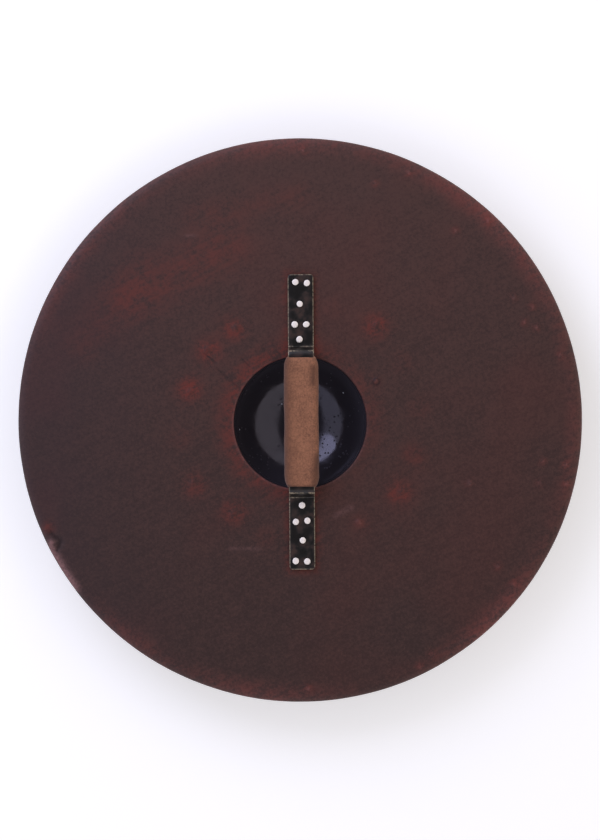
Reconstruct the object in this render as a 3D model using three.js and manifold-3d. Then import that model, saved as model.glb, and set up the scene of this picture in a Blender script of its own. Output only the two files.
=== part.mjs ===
// A round centre-grip shield (buckler), lying face down on its boss with the grip side up.
// Millimetres, +Z up. The origin is on the floor below the middle of the disc, and the grip runs along Y.

import * as THREE from "three";
import { mergeVertices } from "three/addons/utils/BufferGeometryUtils.js";
import Module from "manifold-3d";

// Disc: a stiff board covered in hide, with a turned-over rim and a round hand opening
const SHIELD_DIAMETER = 560;
const DISC_THICKNESS = 10;
const RIM_TURN = 9;
const OPENING_DIAMETER = 132;
const OPENING_LIP = 1.2;

// The opening, boss and handle were set out by hand, a little below the middle of the disc
const HUB_DROP = 2.6;

// Boss: a dished steel cup behind the opening, with a broad flange on the front of the disc
const SHEET = 2;
const CUP_MOUTH_RADIUS = 67;
const CUP_DEPTH = 42;
const CUP_BEND = 4;
const REST_FLAT_RADIUS = 12;
const FLANGE_RADIUS = 127;

// Boss nails: domed heads on the flange, points buried in the disc
const NAIL_COUNT = 16;
const NAIL_RING_RADIUS = 117;
const NAIL_FIRST_DEG = 7.2;
const NAIL_HEAD_RADIUS = 4.5;
const NAIL_HEAD_HEIGHT = 2.4;
const NAIL_SHANK_RADIUS = 1.6;
const NAIL_SHORT_OF_BACK = 1.5;

// Handle strap: flat bar with both ends riveted down and the middle raised into a grip
const STRAP_LENGTH = 292.3;
const STRAP_WIDTH = 25.4;
const STRAP_THICKNESS = 3;
const STRAP_CORNER = 3.5;
const STRAP_RISE = 12;
const STRAP_FOOT = 72.6;
const STRAP_SHOULDER = 68;
const STRAP_BEND = 2.5;
const HANDLE_SKEW_DEG = 0.4;
const HANDLE_SHIFT_X = 1.2;
const HANDLE_SHIFT_Y = 0.7;

// Grip: leather folded round the raised part of the strap, drawn in at both ends
const GRIP_LENGTH = 130;
const GRIP_WIDTH = 34;
const GRIP_HEIGHT = 19;
const GRIP_ROUND = 6.5;
const GRIP_END_TAPER = 7;
const GRIP_END_INSET = 3;

// Strap rivets: rows of two and one, counted from each end of the strap. They were drilled by eye,
// so each row sits a little aside, and a pair's right rivet may lie further along than its left.
const RIVET_PITCH = 11.4;
const RIVET_ROWS = {
  top: [
    { fromEnd: 8.3, pair: true, aside: 0.6, lean: -1 },
    { fromEnd: 29.4, pair: false, aside: -0.9, lean: 0 },
    { fromEnd: 49.7, pair: true, aside: -0.3, lean: 0 },
    { fromEnd: 64.5, pair: false, aside: -1.4, lean: 0 },
  ],
  bottom: [
    { fromEnd: 8.4, pair: true, aside: -0.9, lean: -0.5 },
    { fromEnd: 29, pair: false, aside: 0.5, lean: 0 },
    { fromEnd: 47.9, pair: true, aside: -0.5, lean: 1.1 },
    { fromEnd: 63.7, pair: false, aside: 0, lean: 0 },
  ],
};
const RIVET_HEAD_RADIUS = 3.3;
const RIVET_HEAD_HEIGHT = 1.5;
const RIVET_SHANK_RADIUS = 2;

// Clearance between pieces that touch
const GAP = 0.3;

// Facets round each turned piece
const DISC_SIDES = 100;
const CUP_SIDES = 48;
const HEAD_SIDES = 10;
const HOLE_SIDES = 8;

// Levels above the floor, from the rest flat on the boss up to the grip
const CUP_RADIUS = (CUP_MOUTH_RADIUS ** 2 + CUP_DEPTH ** 2) / (2 * CUP_DEPTH);
const DOME_RADIUS = CUP_RADIUS + SHEET;
const DOME_CENTRE_Z = Math.sqrt(DOME_RADIUS ** 2 - REST_FLAT_RADIUS ** 2);
const FLANGE_BACK_Z = DOME_CENTRE_Z - CUP_RADIUS + CUP_DEPTH;
const FLANGE_FRONT_Z = FLANGE_BACK_Z - SHEET;
const DISC_FRONT_Z = FLANGE_BACK_Z + GAP;
const DISC_BACK_Z = DISC_FRONT_Z + DISC_THICKNESS;
const STRAP_Z = DISC_BACK_Z + GAP;
const STRAP_TOP_Z = STRAP_Z + STRAP_THICKNESS;
const GRIP_MIDDLE_Z = STRAP_Z + STRAP_RISE + STRAP_THICKNESS / 2;

const HIDE = new THREE.MeshStandardMaterial({ color: 0x46312f, roughness: 0.6, metalness: 0 });
const BLACK_CUP = new THREE.MeshStandardMaterial({ color: 0x101116, roughness: 0.2, metalness: 0 });
const BLACK_BAR = new THREE.MeshStandardMaterial({ color: 0x25231f, roughness: 0.4, metalness: 0.3 });
const ALUMINIUM = new THREE.MeshStandardMaterial({ color: 0xe9e5df, roughness: 0.35, metalness: 1 });
const GRIP_LEATHER = new THREE.MeshStandardMaterial({ color: 0x7d5440, roughness: 0.85, metalness: 0 });
const BLACK_NAIL = new THREE.MeshStandardMaterial({ color: 0x1a1918, roughness: 0.45, metalness: 0.5 });

const wasm = await Module();
wasm.setup();

// Turns a closed geometry into a solid that can be cut and joined
function solidOf(geometry) {
  const bare = geometry.clone();
  bare.deleteAttribute("normal");
  bare.deleteAttribute("uv");
  const merged = mergeVertices(bare, 1e-4);
  const corners = merged.index.array;
  const triVerts = [];
  for (let i = 0; i < corners.length; i += 3) {
    const [a, b, c] = corners.slice(i, i + 3);
    if (a !== b && b !== c && c !== a) triVerts.push(a, b, c);
  }
  return new wasm.Manifold(new wasm.Mesh({
    numProp: 3,
    vertProperties: merged.attributes.position.array,
    triVerts: new Uint32Array(triVerts),
  }));
}

// Turns a solid back into a named mesh
function meshOf(solid, name, material) {
  const made = solid.getMesh();
  const geometry = new THREE.BufferGeometry();
  geometry.setAttribute("position", new THREE.BufferAttribute(made.vertProperties, 3));
  geometry.setIndex(new THREE.BufferAttribute(made.triVerts, 1));
  geometry.computeVertexNormals();
  const mesh = new THREE.Mesh(geometry, material);
  mesh.name = name;
  return mesh;
}

// Spins [radius, height] points round +Z, listed from the underside outwards and up
function spin(profile, sides) {
  const points = profile.map(([radius, height]) => new THREE.Vector2(radius, height));
  return new THREE.LatheGeometry(points, sides).rotateX(Math.PI / 2);
}

// Points on an ellipse in a profile, angles in degrees from the radius direction
function arc(radius, height, radiusReach, heightReach, fromDeg, toDeg, steps) {
  return Array.from({ length: steps + 1 }, (_, i) => {
    const angle = THREE.MathUtils.degToRad(fromDeg + ((toDeg - fromDeg) * i) / steps);
    return [radius + radiusReach * Math.cos(angle), height + heightReach * Math.sin(angle)];
  });
}

// A straight round hole to cut, from one level up to another
function holeCutter(x, y, radius, fromZ, toZ) {
  const profile = [[0, fromZ], [radius, fromZ], [radius, toZ], [0, toZ]];
  return solidOf(spin(profile, HOLE_SIDES).translate(x, y, 0));
}

function cutAll(solid, cutters) {
  return cutters.reduce((left, cutter) => left.subtract(cutter), solid);
}

// Places that the fasteners share, in the shield's own frame
function nailPlaces() {
  return Array.from({ length: NAIL_COUNT }, (_, i) => {
    const angle = THREE.MathUtils.degToRad(NAIL_FIRST_DEG + (360 * i) / NAIL_COUNT);
    return [NAIL_RING_RADIUS * Math.cos(angle), NAIL_RING_RADIUS * Math.sin(angle) - HUB_DROP];
  });
}

// Rivet places along the strap, numbered from its end inwards and from left to right
function rivetPlaces() {
  const places = [];
  for (const [end, side] of [["top", 1], ["bottom", -1]]) {
    let count = 0;
    for (const { fromEnd, pair, aside, lean } of RIVET_ROWS[end]) {
      for (const step of pair ? [-0.5, 0.5] : [0]) {
        count += 1;
        const x = aside + step * RIVET_PITCH;
        const y = side * (STRAP_LENGTH / 2 - fromEnd) + step * lean;
        places.push({ name: `strap_rivet_${end}_${count}`, x, y });
      }
    }
  }
  return places;
}

// The turned frame that the strap, grip and rivets share
function handleFrame() {
  const frame = new THREE.Group();
  frame.position.set(HANDLE_SHIFT_X, HANDLE_SHIFT_Y - HUB_DROP, 0);
  frame.rotation.z = THREE.MathUtils.degToRad(HANDLE_SKEW_DEG);
  frame.updateMatrix();
  return frame;
}

// Rivet places in the shield's own frame, each with the level of the front face that it grips
function rivetsInShield(frame) {
  return rivetPlaces().map((place) => {
    const at = new THREE.Vector3(place.x, place.y, 0).applyMatrix4(frame.matrix);
    const throughFlange = Math.hypot(at.x, at.y + HUB_DROP) < FLANGE_RADIUS;
    return { ...place, at, throughFlange, frontZ: throughFlange ? FLANGE_FRONT_Z : DISC_FRONT_Z };
  });
}

function makeDisc(rivets) {
  const edge = SHIELD_DIAMETER / 2 - RIM_TURN;
  const middleZ = (DISC_FRONT_Z + DISC_BACK_Z) / 2;
  const board = solidOf(spin([
    [0, DISC_FRONT_Z],
    ...arc(edge, middleZ, RIM_TURN, DISC_THICKNESS / 2, -90, 90, 8),
    [0, DISC_BACK_Z],
  ], DISC_SIDES));

  const radius = OPENING_DIAMETER / 2;
  const lip = radius + OPENING_LIP;
  const opening = solidOf(spin([
    [0, DISC_FRONT_Z - 1],
    [radius, DISC_FRONT_Z - 1],
    ...arc(lip, DISC_BACK_Z - OPENING_LIP, OPENING_LIP, OPENING_LIP, 180, 90, 3),
    [lip, DISC_BACK_Z + 1],
    [0, DISC_BACK_Z + 1],
  ], CUP_SIDES).translate(0, -HUB_DROP, 0));

  const nailHoles = nailPlaces().map(([x, y]) => holeCutter(
    x, y, NAIL_SHANK_RADIUS + GAP, DISC_FRONT_Z - 1, DISC_BACK_Z - NAIL_SHORT_OF_BACK + GAP));
  const rivetHoles = rivets.map(({ at }) => holeCutter(
    at.x, at.y, RIVET_SHANK_RADIUS + GAP, DISC_FRONT_Z - 1, DISC_BACK_Z + 1));
  return meshOf(cutAll(board, [opening, ...nailHoles, ...rivetHoles]), "shield_disc", HIDE);
}

function makeBoss(rivets) {
  // The bend between cup and flange is centred where it touches both the dome and the flange
  const bendZ = FLANGE_FRONT_Z - CUP_BEND;
  const bendFall = DOME_CENTRE_Z - bendZ;
  const bendRadius = Math.sqrt((DOME_RADIUS + CUP_BEND) ** 2 - bendFall ** 2);
  const domeEndDeg = -THREE.MathUtils.radToDeg(Math.atan2(bendFall, bendRadius));
  const flatEndDeg = -THREE.MathUtils.radToDeg(Math.atan2(DOME_CENTRE_Z, REST_FLAT_RADIUS));
  const bendDeg = 180 + domeEndDeg;
  const wideBend = CUP_BEND + SHEET;
  const bowl = solidOf(spin([
    [0, 0],
    ...arc(0, DOME_CENTRE_Z, DOME_RADIUS, DOME_RADIUS, flatEndDeg, domeEndDeg, 5),
    ...arc(bendRadius, bendZ, CUP_BEND, CUP_BEND, bendDeg, 90, 2).slice(1),
    ...arc(FLANGE_RADIUS - SHEET / 2, FLANGE_BACK_Z - SHEET / 2, SHEET / 2, SHEET / 2, -90, 90, 2),
    ...arc(bendRadius, bendZ, wideBend, wideBend, 90, bendDeg, 2),
    ...arc(0, DOME_CENTRE_Z, CUP_RADIUS, CUP_RADIUS, domeEndDeg, -90, 6).slice(1, -1),
    [0, DOME_CENTRE_Z - CUP_RADIUS],
  ], CUP_SIDES).translate(0, -HUB_DROP, 0));

  const below = FLANGE_FRONT_Z - 1;
  const above = FLANGE_BACK_Z + 1;
  const nailHoles = nailPlaces().map(([x, y]) => holeCutter(x, y, NAIL_SHANK_RADIUS + GAP, below, above));
  const rivetHoles = rivets.filter((rivet) => rivet.throughFlange).map(({ at }) => holeCutter(
    at.x, at.y, RIVET_SHANK_RADIUS + GAP, below, above));
  return meshOf(cutAll(bowl, [...nailHoles, ...rivetHoles]), "boss", BLACK_CUP);
}

function makeBossNail(number, [x, y]) {
  const headZ = FLANGE_FRONT_Z - GAP;
  const profile = [
    ...arc(0, headZ, NAIL_HEAD_RADIUS, NAIL_HEAD_HEIGHT, -90, 0, 2),
    [NAIL_SHANK_RADIUS, headZ],
    [NAIL_SHANK_RADIUS, DISC_BACK_Z - NAIL_SHORT_OF_BACK],
    [0, DISC_BACK_Z - NAIL_SHORT_OF_BACK],
  ];
  const name = `boss_nail_${String(number).padStart(2, "0")}`;
  return meshOf(solidOf(spin(profile, HEAD_SIDES).translate(x, y, 0)), name, BLACK_NAIL);
}

// The strap's under line from the middle outwards, with its two bends rounded, as [along, height]
function strapUnderLine() {
  const ramp = new THREE.Vector2(STRAP_FOOT - STRAP_SHOULDER, -STRAP_RISE).setLength(STRAP_BEND);
  const line = new THREE.Path();
  line.moveTo(0, STRAP_RISE);
  line.lineTo(STRAP_SHOULDER - STRAP_BEND, STRAP_RISE);
  line.quadraticCurveTo(STRAP_SHOULDER, STRAP_RISE, STRAP_SHOULDER + ramp.x, STRAP_RISE + ramp.y);
  line.lineTo(STRAP_FOOT - ramp.x, -ramp.y);
  line.quadraticCurveTo(STRAP_FOOT, 0, STRAP_FOOT + STRAP_BEND, 0);
  line.lineTo(STRAP_LENGTH / 2, 0);
  return line.getPoints(4);
}

function makeStrap() {
  const half = strapUnderLine();
  const under = [...half.slice(1).reverse().map((p) => new THREE.Vector2(-p.x, p.y)), ...half];
  const over = under.map((p, i) => {
    const ahead = under[Math.min(i + 1, under.length - 1)];
    const behind = under[Math.max(i - 1, 0)];
    const run = ahead.clone().sub(behind).normalize();
    return new THREE.Vector2(p.x - run.y * STRAP_THICKNESS, p.y + run.x * STRAP_THICKNESS);
  });
  const side = new THREE.Shape([...under, ...over.reverse()]);
  const bent = new THREE.ExtrudeGeometry(side, { depth: STRAP_WIDTH, bevelEnabled: false });
  bent.translate(0, 0, -STRAP_WIDTH / 2).rotateX(Math.PI / 2).rotateZ(Math.PI / 2).translate(0, 0, STRAP_Z);

  const w = STRAP_WIDTH / 2;
  const l = STRAP_LENGTH / 2;
  const plan = new THREE.Shape();
  plan.moveTo(-w, -l + STRAP_CORNER);
  plan.absarc(-w + STRAP_CORNER, -l + STRAP_CORNER, STRAP_CORNER, Math.PI, 1.5 * Math.PI);
  plan.absarc(w - STRAP_CORNER, -l + STRAP_CORNER, STRAP_CORNER, 1.5 * Math.PI, 2 * Math.PI);
  plan.absarc(w - STRAP_CORNER, l - STRAP_CORNER, STRAP_CORNER, 0, 0.5 * Math.PI);
  plan.absarc(-w + STRAP_CORNER, l - STRAP_CORNER, STRAP_CORNER, 0.5 * Math.PI, Math.PI);
  const block = new THREE.ExtrudeGeometry(plan, {
    depth: STRAP_RISE + 3 * STRAP_THICKNESS, bevelEnabled: false, curveSegments: 4,
  }).translate(0, 0, STRAP_Z - STRAP_THICKNESS);

  const holes = rivetPlaces().map(({ x, y }) => holeCutter(
    x, y, RIVET_SHANK_RADIUS + GAP, STRAP_Z - 1, STRAP_TOP_Z + 1));
  return meshOf(cutAll(solidOf(bent).intersect(solidOf(block)), holes), "handle_strap", BLACK_BAR);
}

function makeGrip() {
  const w = GRIP_WIDTH / 2;
  const h = GRIP_HEIGHT / 2;
  const r = GRIP_ROUND;
  const section = new THREE.Shape();
  section.moveTo(-w, -h + r);
  section.absarc(-w + r, -h + r, r, Math.PI, 1.5 * Math.PI);
  section.absarc(w - r, -h + r, r, 1.5 * Math.PI, 2 * Math.PI);
  section.absarc(w - r, h - r, r, 0, 0.5 * Math.PI);
  section.absarc(-w + r, h - r, r, 0.5 * Math.PI, Math.PI);
  const length = GRIP_LENGTH - 2 * GRIP_END_TAPER;
  const sleeve = new THREE.ExtrudeGeometry(section, {
    depth: length,
    curveSegments: 4,
    bevelEnabled: true,
    bevelThickness: GRIP_END_TAPER,
    bevelSize: GRIP_END_INSET,
    bevelOffset: -GRIP_END_INSET,
    bevelSegments: 2,
  });
  sleeve.translate(0, 0, -length / 2).rotateX(Math.PI / 2).translate(0, 0, GRIP_MIDDLE_Z);

  const slot = new THREE.BoxGeometry(STRAP_WIDTH + 2 * GAP, GRIP_LENGTH + 2, STRAP_THICKNESS + 2 * GAP);
  slot.translate(0, 0, GRIP_MIDDLE_Z);
  return meshOf(solidOf(sleeve).subtract(solidOf(slot)), "grip_wrap", GRIP_LEATHER);
}

function makeRivet({ name, x, y, frontZ }) {
  const backZ = STRAP_TOP_Z + GAP;
  const faceZ = frontZ - GAP;
  const profile = [
    ...arc(0, faceZ, RIVET_HEAD_RADIUS, RIVET_HEAD_HEIGHT, -90, 0, 2),
    [RIVET_SHANK_RADIUS, faceZ],
    [RIVET_SHANK_RADIUS, backZ],
    ...arc(0, backZ, RIVET_HEAD_RADIUS, RIVET_HEAD_HEIGHT, 0, 90, 2),
  ];
  return meshOf(solidOf(spin(profile, HEAD_SIDES).translate(x, y, 0)), name, ALUMINIUM);
}

const shield = new THREE.Group();
const handle = handleFrame();
const rivets = rivetsInShield(handle);
shield.add(makeDisc(rivets));
shield.add(makeBoss(rivets));
nailPlaces().forEach((place, i) => shield.add(makeBossNail(i + 1, place)));
handle.add(makeStrap());
handle.add(makeGrip());
rivets.forEach((rivet) => handle.add(makeRivet(rivet)));
shield.add(handle);

export default shield;
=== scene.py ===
"""A round centre-grip shield (buckler), lying on its boss and seen from the grip side.

Laid out as an add-on: an operator models each piece or group of like pieces, and one sets the stage.
"""

import math

import bpy
import numpy as np
from bpy.props import FloatProperty, FloatVectorProperty, IntProperty, PointerProperty
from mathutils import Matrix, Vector


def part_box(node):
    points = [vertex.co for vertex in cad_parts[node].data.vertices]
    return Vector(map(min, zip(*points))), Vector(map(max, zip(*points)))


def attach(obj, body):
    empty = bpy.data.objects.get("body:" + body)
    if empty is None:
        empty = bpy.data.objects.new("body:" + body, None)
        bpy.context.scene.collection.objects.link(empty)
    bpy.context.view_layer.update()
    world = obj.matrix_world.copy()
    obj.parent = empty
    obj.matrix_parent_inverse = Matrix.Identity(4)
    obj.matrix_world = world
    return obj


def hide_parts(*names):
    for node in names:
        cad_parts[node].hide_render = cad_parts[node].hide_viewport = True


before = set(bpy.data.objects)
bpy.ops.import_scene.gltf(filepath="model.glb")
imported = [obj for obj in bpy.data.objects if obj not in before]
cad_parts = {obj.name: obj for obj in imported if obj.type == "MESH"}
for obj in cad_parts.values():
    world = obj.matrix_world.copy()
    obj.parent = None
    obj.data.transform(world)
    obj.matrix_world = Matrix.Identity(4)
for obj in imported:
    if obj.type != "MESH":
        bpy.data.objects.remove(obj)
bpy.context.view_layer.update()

bl_info = {
    "name": "Buckler Shield",
    "version": (1, 0, 0),
    "blender": (4, 5, 0),
    "location": "View3D > Sidebar > Shield",
    "description": "Models a hide-covered buckler with a domed boss, strap handle and leather grip",
    "category": "Add Mesh",
}

BODY = "root"
MM = 0.001
WELD = 0.01 * MM

# Places of the fixed frame, in metres
DISC_LOW, DISC_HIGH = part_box("shield_disc")
BOSS_LOW, BOSS_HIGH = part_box("boss")
STRAP_LOW, STRAP_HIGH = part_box("handle_strap")
GRIP_LOW, GRIP_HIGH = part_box("grip_wrap")
HUB = (BOSS_LOW + BOSS_HIGH) / 2
HANDLE = (STRAP_LOW + STRAP_HIGH) / 2
RIVETS = sorted(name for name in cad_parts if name.startswith("strap_rivet"))
NAILS = sorted(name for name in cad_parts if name.startswith("boss_nail"))

# Nail tips that show under the hide: nail, radius in mm and degrees from the hub, how much it shows
NAIL_TIPS = (
    (3, 123.6, 51.8, 1.0),
    (6, 113.5, 124.0, 0.8),
    (7, 117.3, 142.1, 1.0),
    (8, 113.6, 164.6, 1.0),
    (10, 121.3, 209.6, 0.6),
    (11, 112.6, 233.8, 0.9),
    (15, 122.4, -34.8, 0.9),
    (16, 115.4, -15.0, 0.4),
)
FAINT_TIP = 0.15

# Small raised spots of the hide, in mm from the middle of the disc
PIMPLES = ((74.6, 38.9), (58.7, -101.6), (167.7, -62.9))
RIM_TACKS = (
    (263.9, -62.9), (262.9, -44.1), (237.1, -62.9), (240.1, -41.1), (195.5, -145.2), (211.3, -162.0),
    (131.1, -231.4), (119.2, -244.3), (8.2, -266.1), (230.2, 112.5), (234.1, 91.7), (3.2, 267.1),
    (74.6, 234.4), (107.3, 245.3), (185.6, 197.7), (153.9, 187.8), (211.4, 121.4), (222.3, 96.6),
    (257.9, 63.9),
)

# A fold torn into the rim, and old creases that run in to the opening, as points in mm
RIM_FOLD = ((-248.5, -110.5), (-243.5, -115.5), (-236.6, -119.4), (-239.5, -124.4), (-241.5, -130.3))
RIM_FLAP = (-247.0, -122.0)
RIM_STAIN = (-250.0, -107.0)
CREASES = (
    ((-59.0, 62.0), (-50.3, 53.1)),
    ((-82.0, 50.4), (-71.4, 41.6)),
    ((-68.7, 38.9), (-59.9, 31.0)),
    ((-95.0, 66.0), (-84.0, 57.0)),
)

# Pale scuffs as start, end, half width in mm and strength
SCUFFS = (
    ((-69.0, -127.3), (-40.0, -127.6), 1.8, 0.15),
    ((35.0, -94.5), (50.0, -87.0), 2.8, 0.17),
    ((-113.7, 182.8), (-103.8, 182.8), 1.2, 0.20),
)
# Red rubs on the rim as degrees, half of their spread in degrees, and strength
RIM_RUBS = (
    (45, 28, 0.75),
    (95, 16, 0.55),
    (140, 22, 0.45),
    (315, 14, 0.80),
    (262, 16, 0.50),
    (352, 16, 0.35),
    (232, 10, 0.35),
)

# Sweeps at the upper left where the wax was rubbed through: start, end, half width in mm, strength
WAX_SWEEPS = (
    ((-165.0, 120.0), (-74.0, 172.0), 24.0, 0.45),
    ((-104.0, 203.0), (0.0, 222.0), 14.0, 0.22),
    ((-215.0, 75.0), (-160.0, 150.0), 18.0, 0.18),
)

# Painted highlight along the rounded rim at the lower left, between these turns in degrees
RIM_HIGHLIGHT_FROM = 205.0
RIM_HIGHLIGHT_TO = 218.5


def to_linear(hex_colour):
    """Turns an sRGB hex colour such as "46312f" into linear red, green, blue and alpha."""
    shares = [int(hex_colour[i:i + 2], 16) / 255 for i in (0, 2, 4)]
    return [s / 12.92 if s <= 0.04045 else ((s + 0.055) / 1.055) ** 2.4 for s in shares] + [1.0]


def length(label, millimetres, note):
    """A length property that is given in millimetres and kept in metres."""
    return FloatProperty(name=label, description=note, default=millimetres * MM, unit="LENGTH")


def colour(label, hex_colour, note):
    """A colour property that is given as an sRGB hex value."""
    return FloatVectorProperty(
        name=label, description=note, default=to_linear(hex_colour), size=4, subtype="COLOR", min=0, max=1)


class ShieldSizes(bpy.types.PropertyGroup):
    """Sizes of the shield's pieces that the frame's boxes don't give"""

    rim_turn: length("Rim Turn", 9, "How far in from the edge the hide starts to turn over the rim")
    opening_radius: length("Opening Radius", 66, "Radius of the hand opening")
    opening_lip: length("Opening Lip", 1.2, "Rounding of the opening's edge")
    cup_mouth: length("Cup Mouth Radius", 67, "Radius of the boss's cup where it would meet the flange")
    cup_depth: length("Cup Depth", 42, "Depth of the boss's cup below its flange")
    cup_bend: length("Cup Bend", 4, "Radius of the bend between cup and flange")
    sheet: length("Sheet", 2, "Thickness of the boss's steel")
    rest_flat: length("Rest Flat Radius", 12, "Radius of the flat that the boss rests on")
    strap_length: length("Strap Length", 292.3, "Length of the handle strap from end to end")
    strap_width: length("Strap Width", 25.4, "Width of the handle strap")
    strap_thickness: length("Strap Thickness", 3, "Thickness of the handle strap")
    strap_corner: length("Strap Corner", 3.5, "Rounding of the strap's corners")
    strap_rise: length("Strap Rise", 12, "How far the strap is raised under the grip")
    strap_foot: length("Strap Foot", 72.6, "Distance from the middle to the strap's lower bend")
    strap_shoulder: length("Strap Shoulder", 68, "Distance from the middle to the strap's upper bend")
    handle_skew: FloatProperty(
        name="Handle Skew", description="How far the handle is turned from upright",
        default=math.radians(0.4), subtype="ANGLE")
    grip_length: length("Grip Length", 130, "Length of the leather grip")
    grip_width: length("Grip Width", 34, "Width of the leather grip")
    grip_height: length("Grip Height", 19, "Height of the leather grip")
    grip_round: length("Grip Rounding", 6.5, "Rounding of the grip's long corners")
    rivet_radius: length("Rivet Head Radius", 3.15, "Radius of a strap rivet's head")
    rivet_height: length("Rivet Head Height", 1.5, "Height of a strap rivet's head")
    nail_radius: length("Nail Head Radius", 4.5, "Radius of a boss nail's head")
    nail_height: length("Nail Head Height", 2.4, "Height of a boss nail's head")
    shank_radius: length("Shank Radius", 1.8, "Radius of the nails' and rivets' shanks")
    disc_steps: IntProperty(name="Disc Steps", description="Points round the disc", default=640, min=64)
    boss_steps: IntProperty(name="Boss Steps", description="Points round the boss", default=180, min=32)


class ShieldColours(bpy.types.PropertyGroup):
    """Colours of the shield's finishes"""

    hide_dark: colour("Hide Dark", "362521", "Hide in its dark places")
    hide_light: colour("Hide Light", "4d352f", "Hide in its light places")
    hide_red: colour("Hide Rubbed", "6a2f26", "Hide where it is rubbed back to the red dye")
    # Painted light: a cool cast of light down the left side of the hide, drawn into its colour
    hide_cool_light: colour("Hide Bloom", "33282c", "Cool bloom of old wax on the hide")
    # Also used for painted highlights on the pimples, the rim tacks and the rim at the lower left
    hide_pale: colour("Hide Scuffed", "9c716e", "Hide where it is scuffed pale")
    # Also used for painted shade in the fold and the creases and a painted shadow round the first pimple
    hide_stain_and_shade: colour("Hide Stain", "1c1012", "Dirt in creases of the hide")
    enamel: colour("Enamel", "2e2b30", "Enamel inside the boss")
    enamel_dust: colour("Enamel Dust", "b8bcc8", "Specks of dust and chips on the enamel")
    paint: colour("Strap Paint", "120f0c", "Paint on the handle strap")
    paint_rust: colour("Strap Rust", "4a3024", "Rust where the strap's paint is thin")
    steel: colour("Worn Steel", "a89a82", "Bare steel at the strap's worn edges")
    aluminium: colour("Aluminium", "fff6ea", "Rivet heads")
    grip_dark: colour("Grip Dark", "644231", "Grip leather in its dark places")
    # Drawn darker along the grip's left side, at its right edge, in two patches on the right and in a band
    # near one end
    grip_drawn_dark: colour("Grip Soiled", "4a2f23", "Grip leather where hands have darkened it")
    grip_light: colour("Grip Light", "a47052", "Grip leather in its light places")
    nail_iron: colour("Nail Iron", "1d1b1a", "Painted iron of the boss nails")
    floor: colour("Floor", "f2f2f0", "The floor that the shield lies on")


class ShieldStage(bpy.types.PropertyGroup):
    """Camera and light"""

    lens: FloatProperty(name="Lens", description="Focal length of the camera", default=85.0, unit="CAMERA")
    camera_x: length("Camera Right", -0.23, "How far right of the disc's middle the camera stands")
    camera_y: length("Camera Up", 0.0, "How far above the disc's middle the camera stands")
    camera_distance: length("Camera Distance", 1970.5, "Distance from the camera down to the rim")
    ring_light: FloatProperty(name="Ring Light", description="Brightness of the surroundings", default=1.0)
    zenith_light: FloatProperty(name="Zenith Light", description="Brightness right overhead", default=0.2)
    lamp_power: FloatProperty(
        name="Lamp Power", description="Power of the soft lamp", default=14.0, unit="POWER")
    lamp_size: length("Lamp Size", 1350, "Width of the soft lamp")
    floor_glow: FloatProperty(name="Floor Glow", description="Light from the floor itself", default=0.40)


# Modelling helpers

def start_fresh():
    """Leaves edit mode and deselects everything, so that the next operator acts on its own piece alone."""
    if bpy.context.object and bpy.context.object.mode != "OBJECT":
        bpy.ops.object.mode_set(mode="OBJECT")
    bpy.ops.object.select_all(action="DESELECT")


def arc(radius, height, radius_reach, height_reach, from_deg, to_deg, steps):
    """Points on an ellipse in a profile, as (radius, height), angles from the radius direction."""
    angles = np.radians(np.linspace(from_deg, to_deg, steps + 1))
    return [(radius + radius_reach * math.cos(a), height + height_reach * math.sin(a)) for a in angles]


def loft_rings(name, profile, steps, centre):
    """Draws a first ring and extrudes it through a profile of (radius, height). A radius of 0 closes it."""
    start_fresh()
    (radius, height), *rest = profile
    place = (centre[0], centre[1], height)
    bpy.ops.mesh.primitive_circle_add(vertices=steps, radius=radius, location=place)
    piece = bpy.context.object
    piece.name = name
    bpy.ops.object.transform_apply(location=True)
    bpy.ops.object.mode_set(mode="EDIT")
    for next_radius, next_height in rest:
        bpy.ops.mesh.extrude_edges_move()
        share = next_radius / radius
        bpy.ops.transform.resize(value=(share, share, 1), center_override=(centre[0], centre[1], height))
        bpy.ops.transform.translate(value=(0, 0, next_height - height))
        if next_radius == 0:
            bpy.ops.mesh.merge(type="CENTER")
            break
        radius, height = next_radius, next_height
    return piece


def tidy_mesh():
    """Merges doubles and points all faces outwards, from edit mode back to object mode."""
    bpy.ops.mesh.select_all(action="SELECT")
    bpy.ops.mesh.remove_doubles(threshold=WELD)
    bpy.ops.mesh.normals_make_consistent(inside=False)
    bpy.ops.object.mode_set(mode="OBJECT")


def points_of(piece):
    """The piece's vertices as an array of rows."""
    flat = np.empty(len(piece.data.vertices) * 3, np.float32)
    piece.data.vertices.foreach_get("co", flat)
    return flat.reshape(-1, 3).astype(float)


def select_points(piece, chosen, mode="VERT"):
    """Goes into edit mode with only the chosen vertices selected."""
    bpy.ops.object.mode_set(mode="EDIT")
    bpy.ops.mesh.select_mode(type="VERT")
    bpy.ops.mesh.select_all(action="DESELECT")
    bpy.ops.object.mode_set(mode="OBJECT")
    piece.data.vertices.foreach_set("select", chosen)
    bpy.ops.object.mode_set(mode="EDIT")
    bpy.ops.mesh.select_mode(type=mode)


def push(piece, chosen, move, reach, falloff="SMOOTH"):
    """Moves the chosen vertices, and their surroundings with them out to a reach."""
    if not np.any(chosen):
        raise RuntimeError(f"nothing to push on {piece.name}")
    select_points(piece, chosen)
    bpy.ops.transform.translate(
        value=move, use_proportional_edit=True, proportional_edit_falloff=falloff, proportional_size=reach)
    bpy.ops.object.mode_set(mode="OBJECT")


def nearest(points, places):
    """Marks the vertex that lies nearest to each place."""
    chosen = np.zeros(len(points), bool)
    for place in places:
        chosen[np.argmin(np.sum((points - np.asarray(place)) ** 2, axis=1))] = True
    return chosen


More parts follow.
